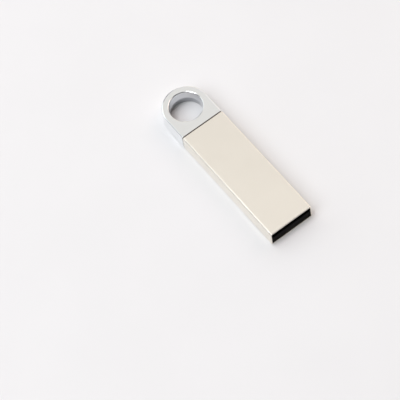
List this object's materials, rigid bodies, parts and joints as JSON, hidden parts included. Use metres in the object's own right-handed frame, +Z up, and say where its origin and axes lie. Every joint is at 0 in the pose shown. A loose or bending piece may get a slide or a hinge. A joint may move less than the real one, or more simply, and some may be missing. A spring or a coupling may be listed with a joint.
{
  "type": "usb flash drive",
  "caption": "Slim all-metal USB flash drive: a rectangular sheet sleeve that is itself the plug shell, closed by a cast key-ring loop.",
  "frame": {"origin": "middle of the rectangle that the drive covers on the table, at table height", "axes": "+X out of the plug's mouth, +Z up with the module's contacts facing up, +Y to the left when looking along +X"},
  "size_m": [0.047, 0.012, 0.0045],
  "materials": {
    "sleeve_metal": "satin bright nickel plate with a warm champagne tone over steel sheet",
    "cap_metal": "bright nickel-chrome plate over a zinc casting",
    "adhesive": "cured dark adhesive",
    "carrier_plastic": "fine-textured black moulded plastic",
    "gold": "hard gold plate over nickel and copper",
    "solder_mask": "black solder mask over a laminate",
    "moulding_compound": "black epoxy moulding compound",
    "silicon": "polished silicon",
    "ceramic_tan": "fired ceramic, tan",
    "ceramic_black": "fired ceramic, black",
    "tin": "tinned metal"
  },
  "bodies": {
    "root": {"sleeve": "sleeve_metal", "ring_cap": "cap_metal", "cap_adhesive": "adhesive", "carrier_tray": "carrier_plastic", "carrier_cover": "carrier_plastic", "ground_contact": "gold", "data_plus_contact": "gold", "data_minus_contact": "gold", "vbus_contact": "gold", "test_pads": "gold", "module_substrate": "solder_mask", "module_encapsulant": "moulding_compound", "controller_die": "silicon", "flash_die_first": "silicon", "flash_die_second": "silicon", "die_attach_films": "adhesive", "controller_bond_wires": "gold", "flash_bond_wires": "gold", "capacitor_bodies": "ceramic_tan", "resistor_bodies": "ceramic_black", "ferrite_bead": "ceramic_black", "chip_terminals": "tin", "solder_joints": "tin", "crystal_base": "ceramic_tan", "crystal_lid": "tin", "module_tape": "adhesive"}
  },
  "joints": []
}
